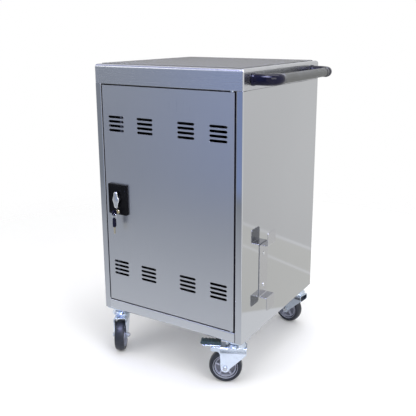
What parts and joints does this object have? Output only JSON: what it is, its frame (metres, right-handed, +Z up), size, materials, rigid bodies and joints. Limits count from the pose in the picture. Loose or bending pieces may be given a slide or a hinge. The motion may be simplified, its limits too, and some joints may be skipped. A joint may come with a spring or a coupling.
{
  "type": "laptop_charging_cart",
  "caption": "Stainless steel cabinet on swivel casters that stores and charges laptops, with a locking vented front door, a rear service door, a side push handle, a cord cleat and a padded top",
  "frame": {"origin": "on the floor under the middle of the outline, push handle and keys included", "axes": "+Z up, the front door faces -Y, the push handle is on the +X side"},
  "size_m": [0.6138, 0.5814, 0.973],
  "materials": {
    "stainless_steel": "satin, close to a mirror on the side panel",
    "mat_rubber": "matt",
    "zinc_steel": "bright zinc plate",
    "grip_chrome": "satin chrome",
    "black_plastic": "gloss",
    "socket_plastic": "matt",
    "rack_plastic": "matt",
    "bar_plastic": "matt",
    "hub_plastic": "satin",
    "tyre_rubber": "matt",
    "pedal_plastic": "satin"
  },
  "bodies": {
    "cabinet": {"top_cover": "stainless_steel", "top_mat": "mat_rubber", "left_side_panel": "stainless_steel", "right_side_panel": "stainless_steel", "base_pan": "stainless_steel", "header_rail": "stainless_steel", "rear_rail": "stainless_steel", "mid_shelf": "stainless_steel", "partition_panel": "stainless_steel", "upper_divider_rack": "rack_plastic", "lower_divider_rack": "rack_plastic", "power_strip_left": "socket_plastic", "power_strip_right": "socket_plastic", "power_inlet": "socket_plastic", "handle_elbow_front": "black_plastic", "handle_elbow_rear": "black_plastic", "handle_collar_front": "black_plastic", "handle_collar_rear": "black_plastic", "handle_bar": "bar_plastic", "cord_cleat": "stainless_steel", "front_left_caster_plate": "zinc_steel", "front_right_caster_plate": "zinc_steel", "rear_left_caster_plate": "zinc_steel", "rear_right_caster_plate": "zinc_steel"},
    "door": {"door_panel": "stainless_steel", "hinge_pin_upper": "zinc_steel", "hinge_pin_lower": "zinc_steel", "lock_housing": "black_plastic", "upper_rod_guide": "zinc_steel", "lower_rod_guide": "zinc_steel"},
    "lock_handle": {"turn_handle": "grip_chrome", "lock_pinion": "zinc_steel"},
    "upper_rod": {"upper_lock_rod": "zinc_steel"},
    "lower_rod": {"lower_lock_rod": "zinc_steel"},
    "key_barrel": {"lock_cylinder": "zinc_steel", "key": "black_plastic"},
    "spare_keys": {"key_ring": "zinc_steel", "spare_key": "black_plastic"},
    "rear_door": {"rear_door": "stainless_steel"},
    "rear_lock": {"rear_cam_lock": "zinc_steel"},
    "front_left_swivel": {"front_left_fork": "zinc_steel", "front_left_axle": "zinc_steel"},
    "front_left_wheel": {"front_left_hub": "hub_plastic", "front_left_tyre": "tyre_rubber"},
    "front_right_swivel": {"front_right_fork": "zinc_steel", "front_right_axle": "zinc_steel"},
    "front_right_wheel": {"front_right_hub": "hub_plastic", "front_right_tyre": "tyre_rubber"},
    "front_right_brake": {"front_right_brake_lever": "zinc_steel", "front_right_brake_pedal": "pedal_plastic"},
    "rear_left_swivel": {"rear_left_fork": "zinc_steel", "rear_left_axle": "zinc_steel"},
    "rear_left_wheel": {"rear_left_hub": "hub_plastic", "rear_left_tyre": "tyre_rubber"},
    "rear_right_swivel": {"rear_right_fork": "zinc_steel", "rear_right_axle": "zinc_steel"},
    "rear_right_wheel": {"rear_right_hub": "hub_plastic", "rear_right_tyre": "tyre_rubber"},
    "rear_right_brake": {"rear_right_brake_lever": "zinc_steel", "rear_right_brake_pedal": "pedal_plastic"}
  },
  "joints": [
    {"name": "door_hinge", "type": "hinge", "parent": "cabinet", "child": "door", "pos_m": [0.1879, -0.24113, 0.547], "axis": [0, 0, 1], "range_deg": [0, 110]},
    {"name": "handle_turn", "type": "hinge", "parent": "door", "child": "lock_handle", "pos_m": [-0.2251, -0.25113, 0.5435], "axis": [0, -1, 0], "range_deg": [0, 90]},
    {"name": "upper_rod_slide", "type": "slide", "parent": "door", "child": "upper_rod", "axis": [0, 0, 1], "range_m": [0, 0.0157]},
    {"name": "lower_rod_slide", "type": "slide", "parent": "door", "child": "lower_rod", "axis": [0, 0, -1], "range_m": [0, 0.0158]},
    {"name": "key_turn", "type": "hinge", "parent": "door", "child": "key_barrel", "pos_m": [-0.2251, -0.25113, 0.503], "axis": [0, -1, 0], "range_deg": [0, 90]},
    {"name": "spare_key_swing", "type": "hinge", "parent": "key_barrel", "child": "spare_keys", "pos_m": [-0.2251, -0.27793, 0.50091], "axis": [-1, 0, 0], "range_deg": [-8, 60]},
    {"name": "rear_door_hinge", "type": "hinge", "parent": "cabinet", "child": "rear_door", "pos_m": [0.1879, 0.27736, 0.547], "axis": [0, 0, -1], "range_deg": [0, 110]},
    {"name": "rear_cam_turn", "type": "hinge", "parent": "rear_door", "child": "rear_lock", "pos_m": [-0.2441, 0.28736, 0.547], "axis": [0, 1, 0], "range_deg": [0, 90]},
    {"name": "front_left_swivel", "type": "hinge", "parent": "cabinet", "child": "front_left_swivel", "pos_m": [-0.2646, -0.21213, 0.13], "axis": [0, 0, 1], "continuous": true},
    {"name": "front_left_roll", "type": "hinge", "parent": "front_left_swivel", "child": "front_left_wheel", "pos_m": [-0.2486, -0.23985, 0.05219], "axis": [0.866, 0.5, 0], "continuous": true},
    {"name": "front_right_swivel", "type": "hinge", "parent": "cabinet", "child": "front_right_swivel", "pos_m": [0.1884, -0.21213, 0.13], "axis": [0, 0, 1], "continuous": true},
    {"name": "front_right_roll", "type": "hinge", "parent": "front_right_swivel", "child": "front_right_wheel", "pos_m": [0.1594, -0.22566, 0.05219], "axis": [0.4226, -0.9063, 0], "continuous": true},
    {"name": "front_right_brake", "type": "hinge", "parent": "front_right_swivel", "child": "front_right_brake", "pos_m": [0.1236, -0.24235, 0.1148], "axis": [0.4226, -0.9063, 0], "range_deg": [0, 12]},
    {"name": "rear_left_swivel", "type": "hinge", "parent": "cabinet", "child": "rear_left_swivel", "pos_m": [-0.2646, 0.24837, 0.13], "axis": [0, 0, 1], "continuous": true},
    {"name": "rear_left_roll", "type": "hinge", "parent": "rear_left_swivel", "child": "rear_left_wheel", "pos_m": [-0.23453, 0.23742, 0.05219], "axis": [0.342, 0.9397, 0], "continuous": true},
    {"name": "rear_right_swivel", "type": "hinge", "parent": "cabinet", "child": "rear_right_swivel", "pos_m": [0.1884, 0.24837, 0.13], "axis": [0, 0, 1], "continuous": true},
    {"name": "rear_right_roll", "type": "hinge", "parent": "rear_right_swivel", "child": "rear_right_wheel", "pos_m": [0.15689, 0.25392, 0.05219], "axis": [-0.1736, -0.9848, 0], "continuous": true},
    {"name": "rear_right_brake", "type": "hinge", "parent": "rear_right_swivel", "child": "rear_right_brake", "pos_m": [0.11799, 0.26078, 0.1148], "axis": [-0.1736, -0.9848, 0], "range_deg": [0, 12]}
  ],
  "couplings": [
    {"joint": "handle_turn", "follows": "upper_rod_slide", "rad_per_m": 100},
    {"joint": "lower_rod_slide", "follows": "upper_rod_slide", "ratio": 1}
  ]
}
